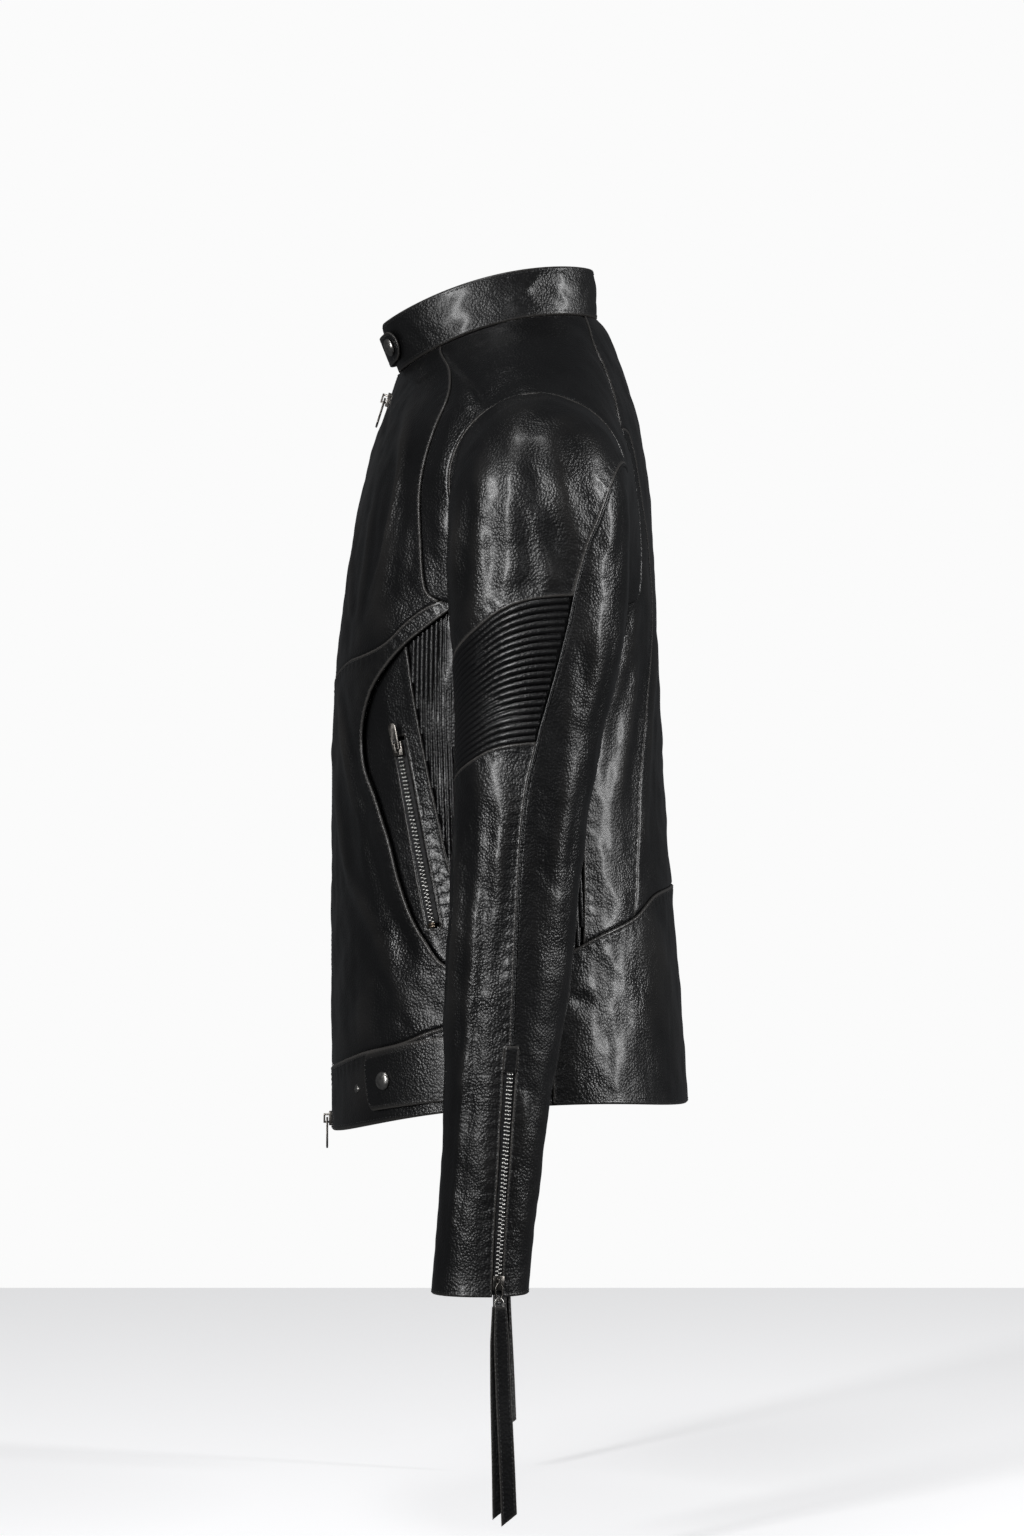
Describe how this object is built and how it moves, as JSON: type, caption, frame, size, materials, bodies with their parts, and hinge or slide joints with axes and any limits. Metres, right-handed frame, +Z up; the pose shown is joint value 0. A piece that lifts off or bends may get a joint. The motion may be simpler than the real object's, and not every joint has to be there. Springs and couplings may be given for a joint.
{
  "type": "leather riding jacket",
  "caption": "Hip-length leather riding jacket: raglan yokes, stand collar with snap tab, two-way front zip, ribbed elbows and side panels, zipped cuffs and hem tabs.",
  "frame": {"origin": "middle of the neck, level with the base of the shoulders, where a hanger or the wearer holds the jacket up", "axes": "+Z up, the wearer's front is -Y, the wearer's left is +X"},
  "size_m": [0.598, 0.2908, 0.9653],
  "materials": {
    "shell_leather": "fine-grain black cowhide, semi-gloss",
    "collar_leather": "fine-grain black leather, satin",
    "stretch_ribs": "ribbed soft leather",
    "lining_cloth": "black twill lining",
    "zip_tape": "woven tape with bright metal teeth",
    "zip_metal": "antique gunmetal",
    "snap_metal": "satin nickel",
    "strap_leather": "doubled leather strap"
  },
  "bodies": {
    "torso": {"centre_back": "shell_leather", "hem_back": "shell_leather", "body_lining": "lining_cloth", "collar": "collar_leather", "collar_snap_stud": "snap_metal", "hanger_loop": "shell_leather", "main_zip_left": "zip_tape", "main_zip_right": "zip_tape", "front_upper_left": "shell_leather", "front_panel_left": "shell_leather", "pocket_panel_left": "shell_leather", "rib_panel_left": "stretch_ribs", "back_side_left": "shell_leather", "hem_front_left": "shell_leather", "yoke_left": "shell_leather", "pocket_bag_left": "lining_cloth", "hem_stud_left": "snap_metal", "pocket_zip_left": "zip_tape", "front_upper_right": "shell_leather", "front_panel_right": "shell_leather", "pocket_panel_right": "shell_leather", "rib_panel_right": "stretch_ribs", "back_side_right": "shell_leather", "hem_front_right": "shell_leather", "yoke_right": "shell_leather", "pocket_bag_right": "lining_cloth", "hem_stud_right": "snap_metal", "pocket_zip_right": "zip_tape"},
    "collar_tab": {"collar_tab": "collar_leather", "collar_snap_cap": "snap_metal"},
    "main_upper_slider": {"main_zip_upper_slider": "zip_metal"},
    "main_upper_pull": {"main_zip_upper_pull": "zip_metal"},
    "main_lower_slider": {"main_zip_lower_slider": "zip_metal"},
    "main_lower_pull": {"main_zip_lower_pull": "zip_metal"},
    "sleeve_left": {"sleeve_outer_left": "shell_leather", "under_sleeve_upper_left": "shell_leather", "elbow_ribs_left": "stretch_ribs", "sleeve_lining_left": "lining_cloth"},
    "forearm_left": {"forearm_left": "shell_leather", "under_sleeve_lower_left": "shell_leather", "sleeve_zip_left": "zip_tape"},
    "cuff_slider_left": {"sleeve_zip_slider_left": "zip_metal"},
    "cuff_pull_left": {"sleeve_zip_pull_left": "strap_leather"},
    "pocket_slider_left": {"pocket_zip_slider_left": "zip_metal"},
    "pocket_pull_left": {"pocket_zip_pull_left": "zip_metal"},
    "hem_tab_left": {"hem_tab_left": "shell_leather", "hem_snap_cap_left": "snap_metal"},
    "sleeve_right": {"sleeve_outer_right": "shell_leather", "under_sleeve_upper_right": "shell_leather", "elbow_ribs_right": "stretch_ribs", "sleeve_lining_right": "lining_cloth"},
    "forearm_right": {"forearm_right": "shell_leather", "under_sleeve_lower_right": "shell_leather", "sleeve_zip_right": "zip_tape"},
    "cuff_slider_right": {"sleeve_zip_slider_right": "zip_metal"},
    "cuff_pull_right": {"sleeve_zip_pull_right": "strap_leather"},
    "pocket_slider_right": {"pocket_zip_slider_right": "zip_metal"},
    "pocket_pull_right": {"pocket_zip_pull_right": "zip_metal"},
    "hem_tab_right": {"hem_tab_right": "shell_leather", "hem_snap_cap_right": "snap_metal"}
  },
  "joints": [
    {"name": "shoulder_left", "type": "hinge", "parent": "torso", "child": "sleeve_left", "pos_m": [0.188, 0.03, -0.1145], "axis": [-1, 0, 0], "range_deg": [-15, 45]},
    {"name": "elbow_left", "type": "hinge", "parent": "sleeve_left", "child": "forearm_left", "pos_m": [0.237, -0.01, -0.29], "axis": [-1, 0, 0], "range_deg": [0, 60], "deforming": ["elbow_ribs_left", "sleeve_lining_left"]},
    {"name": "cuff_zip_left", "type": "slide", "parent": "forearm_left", "child": "cuff_slider_left", "axis": [0.0468, 0.058, 0.9972], "range_m": [0, 0.155]},
    {"name": "cuff_pull_swing_left", "type": "hinge", "parent": "cuff_slider_left", "child": "cuff_pull_left", "pos_m": [0.27376, 0.00001, -0.7163], "axis": [0.2514, -0.9679, 0], "range_deg": [0, 120]},
    {"name": "pocket_zip_left", "type": "slide", "parent": "torso", "child": "pocket_slider_left", "axis": [0.0973, 0.1854, -0.9778], "range_m": [0, 0.132]},
    {"name": "pocket_pull_swing_left", "type": "hinge", "parent": "pocket_slider_left", "child": "pocket_pull_left", "pos_m": [0.16298, -0.07936, -0.31731], "axis": [0.471, 0.8569, 0.2094], "range_deg": [0, 150]},
    {"name": "hem_tab_swing_left", "type": "hinge", "parent": "torso", "child": "hem_tab_left", "pos_m": [0.18416, -0.02148, -0.53243], "axis": [-0.0514, -0.029, 0.9983], "range_deg": [0, 50]},
    {"name": "shoulder_right", "type": "hinge", "parent": "torso", "child": "sleeve_right", "pos_m": [-0.188, 0.03, -0.1145], "axis": [-1, 0, 0], "range_deg": [-15, 45]},
    {"name": "elbow_right", "type": "hinge", "parent": "sleeve_right", "child": "forearm_right", "pos_m": [-0.237, -0.01, -0.29], "axis": [-1, 0, 0], "range_deg": [0, 60], "deforming": ["elbow_ribs_right", "sleeve_lining_right"]},
    {"name": "cuff_zip_right", "type": "slide", "parent": "forearm_right", "child": "cuff_slider_right", "axis": [-0.0468, 0.058, 0.9972], "range_m": [0, 0.155]},
    {"name": "cuff_pull_swing_right", "type": "hinge", "parent": "cuff_slider_right", "child": "cuff_pull_right", "pos_m": [-0.27376, 0.00001, -0.7163], "axis": [0.2514, 0.9679, 0], "range_deg": [0, 120]},
    {"name": "pocket_zip_right", "type": "slide", "parent": "torso", "child": "pocket_slider_right", "axis": [-0.0973, 0.1854, -0.9778], "range_m": [0, 0.132]},
    {"name": "pocket_pull_swing_right", "type": "hinge", "parent": "pocket_slider_right", "child": "pocket_pull_right", "pos_m": [-0.16298, -0.07936, -0.31731], "axis": [0.471, -0.8569, -0.2094], "range_deg": [0, 150]},
    {"name": "hem_tab_swing_right", "type": "hinge", "parent": "torso", "child": "hem_tab_right", "pos_m": [-0.18416, -0.02148, -0.53243], "axis": [-0.0514, 0.029, -0.9983], "range_deg": [0, 50]},
    {"name": "main_zip_upper", "type": "hinge", "parent": "torso", "child": "main_upper_slider", "pos_m": [0, 0.866, -0.338], "axis": [1, 0, 0], "range_deg": [0, 15]},
    {"name": "main_upper_pull_swing", "type": "hinge", "parent": "main_upper_slider", "child": "main_upper_pull", "pos_m": [0, -0.09199, -0.03673], "axis": [-1, 0, 0], "range_deg": [0, 150]},
    {"name": "main_zip_lower", "type": "slide", "parent": "torso", "child": "main_lower_slider", "axis": [0, 0, 1], "range_m": [0, 0.22]},
    {"name": "main_lower_pull_swing", "type": "hinge", "parent": "main_lower_slider", "child": "main_lower_pull", "pos_m": [0, -0.13825, -0.612], "axis": [-1, 0, 0], "range_deg": [0, 150]},
    {"name": "collar_tab_swing", "type": "hinge", "parent": "torso", "child": "collar_tab", "pos_m": [-0.02934, -0.07762, -0.00612], "axis": [-0.0594, 0.3579, -0.9319], "range_deg": [0, 60]}
  ]
}
